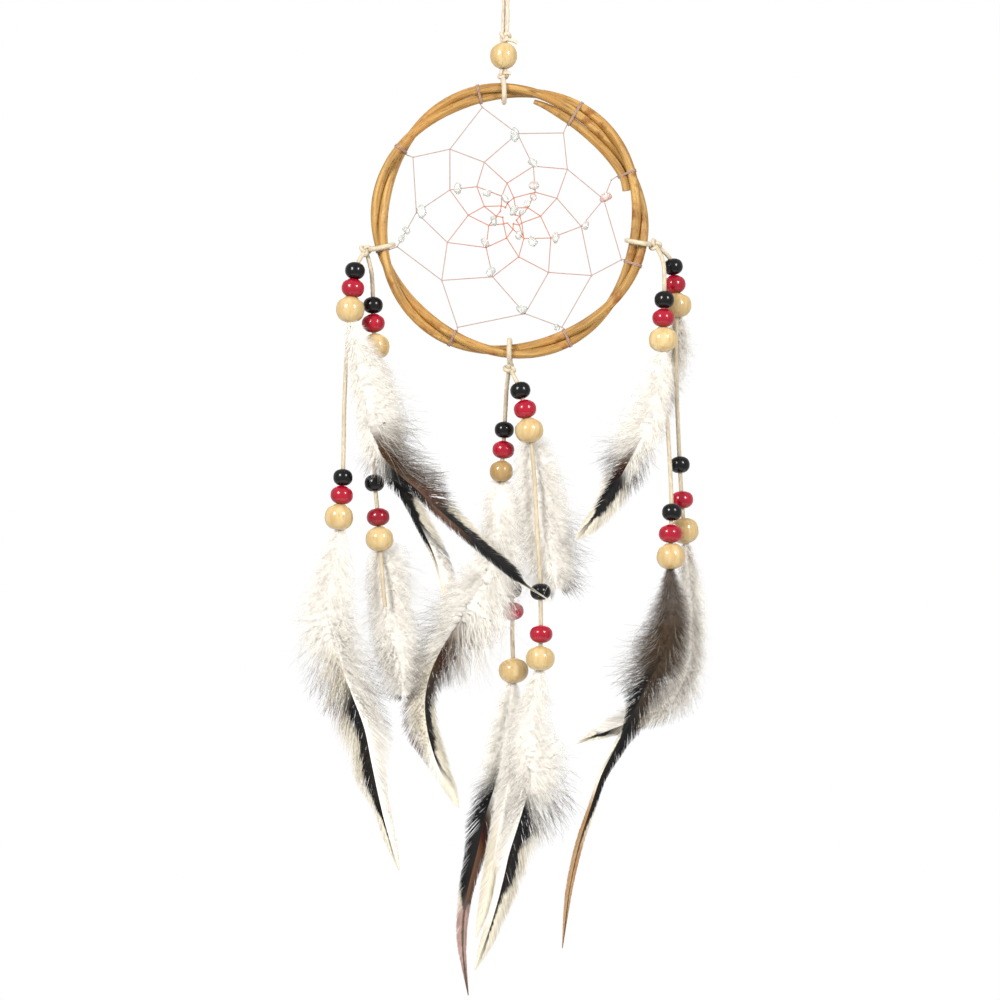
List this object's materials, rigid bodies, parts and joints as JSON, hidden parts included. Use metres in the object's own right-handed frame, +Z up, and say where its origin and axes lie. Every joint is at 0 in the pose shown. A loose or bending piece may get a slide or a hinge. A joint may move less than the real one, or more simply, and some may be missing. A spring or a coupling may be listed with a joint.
{
  "type": "dream catcher",
  "caption": "Hanging dream catcher: a twisted withe hoop with a thread web and clear stone chips, hung by a cord through a wooden bead, with beaded, feathered tassels.",
  "frame": {"origin": "top of the hanging loop, where a hook holds it", "axes": "+Z up along the hanging cord, +X to the right in the plane of the hoop, +Y to the back"},
  "size_m": [0.1745, 0.0328, 0.4473],
  "materials": {
    "withe": "peeled, matt with a slight sheen",
    "hanging_cord": "matt cotton cord",
    "tassel_cord": "matt suede-like cord",
    "thread": "waxed thread",
    "stone_chip": "tumbled clear stone",
    "natural_bead": "clear lacquer",
    "red_bead": "gloss lacquer",
    "black_bead": "gloss lacquer",
    "feather": "soft, matt down and vane"
  },
  "bodies": {
    "hanger": {"hanging_cord": "hanging_cord"},
    "suspension": {"top_knot": "hanging_cord", "top_bead": "natural_bead", "neck_cords": "hanging_cord", "neck_knot": "hanging_cord", "hoop_hanging_loop": "hanging_cord"},
    "hoop": {"hoop_withe_first": "withe", "hoop_withe_second": "withe", "hoop_withe_tail": "withe", "web_lashings": "thread", "web_thread": "thread", "crystal_chips": "stone_chip"},
    "left_tie": {"left_tie_loop": "tassel_cord", "left_tie_knot": "tassel_cord"},
    "bottom_tie": {"bottom_tie_loop": "tassel_cord", "bottom_tie_knot": "tassel_cord"},
    "right_tie": {"right_tie_loop": "tassel_cord", "right_tie_knot": "tassel_cord"},
    "left_outer_strand": {"left_outer_cord": "tassel_cord", "left_outer_black_beads": "black_bead", "left_outer_red_beads": "red_bead", "left_outer_natural_beads": "natural_bead", "left_outer_upper_feather": "feather", "left_outer_lower_feather": "feather"},
    "left_inner_strand": {"left_inner_cord": "tassel_cord", "left_inner_black_beads": "black_bead", "left_inner_red_beads": "red_bead", "left_inner_natural_beads": "natural_bead", "left_inner_upper_feather": "feather", "left_inner_lower_feather": "feather"},
    "bottom_left_strand": {"bottom_left_cord": "tassel_cord", "bottom_left_black_beads": "black_bead", "bottom_left_red_beads": "red_bead", "bottom_left_natural_beads": "natural_bead", "bottom_left_upper_feather": "feather", "bottom_left_lower_feather": "feather"},
    "bottom_right_strand": {"bottom_right_cord": "tassel_cord", "bottom_right_black_beads": "black_bead", "bottom_right_red_beads": "red_bead", "bottom_right_natural_beads": "natural_bead", "bottom_right_upper_feather": "feather", "bottom_right_lower_feather": "feather", "bottom_right_rear_feather": "feather"},
    "right_front_strand": {"right_front_cord": "tassel_cord", "right_front_black_beads": "black_bead", "right_front_red_beads": "red_bead", "right_front_natural_beads": "natural_bead", "right_front_upper_feather": "feather", "right_front_lower_feather": "feather"},
    "right_back_strand": {"right_back_cord": "tassel_cord", "right_back_black_beads": "black_bead", "right_back_red_beads": "red_bead", "right_back_natural_beads": "natural_bead", "right_back_upper_feather": "feather", "right_back_lower_feather": "feather"}
  },
  "joints": [
    {"name": "cord_twist", "type": "hinge", "parent": "hanger", "child": "suspension", "pos_m": [-0.0001, 0, -0.0325], "axis": [0, 0, 1], "range_deg": [-90, 90]},
    {"name": "hoop_tilt", "type": "hinge", "parent": "suspension", "child": "hoop", "pos_m": [-0.0006, 0, -0.05831], "axis": [1, 0, 0], "range_deg": [-25, 25]},
    {"name": "left_tie_turn", "type": "hinge", "parent": "hoop", "child": "left_tie", "pos_m": [-0.05302, 0, -0.1256], "axis": [0, 0, -1], "range_deg": [0, 20]},
    {"name": "bottom_tie_turn", "type": "hinge", "parent": "hoop", "child": "bottom_tie", "pos_m": [0.002, 0, -0.17055], "axis": [1, 0, 0], "range_deg": [0, 25]},
    {"name": "right_tie_turn", "type": "hinge", "parent": "hoop", "child": "right_tie", "pos_m": [0.0574, 0, -0.12357], "axis": [0, 0, 1], "range_deg": [0, 20]},
    {"name": "left_outer_sway", "type": "hinge", "parent": "left_tie", "child": "left_outer_strand", "pos_m": [-0.06018, 0, -0.12705], "axis": [0, 1, 0], "range_deg": [-2, 20]},
    {"name": "left_inner_sway", "type": "hinge", "parent": "left_tie", "child": "left_inner_strand", "pos_m": [-0.06018, 0, -0.12705], "axis": [0, 1, 0], "range_deg": [-6, 2]},
    {"name": "bottom_left_sway", "type": "hinge", "parent": "bottom_tie", "child": "bottom_left_strand", "pos_m": [0.002, 0, -0.17785], "axis": [0, 1, 0], "range_deg": [-2, 6]},
    {"name": "bottom_right_sway", "type": "hinge", "parent": "bottom_tie", "child": "bottom_right_strand", "pos_m": [0.002, 0, -0.17785], "axis": [0, 1, 0], "range_deg": [-6, 2]},
    {"name": "right_front_sway", "type": "hinge", "parent": "right_tie", "child": "right_front_strand", "pos_m": [0.0646, 0, -0.12476], "axis": [0, 1, 0], "range_deg": [-2, 6]},
    {"name": "right_back_sway", "type": "hinge", "parent": "right_tie", "child": "right_back_strand", "pos_m": [0.0646, 0, -0.12476], "axis": [0, 1, 0], "range_deg": [-20, 2]}
  ]
}
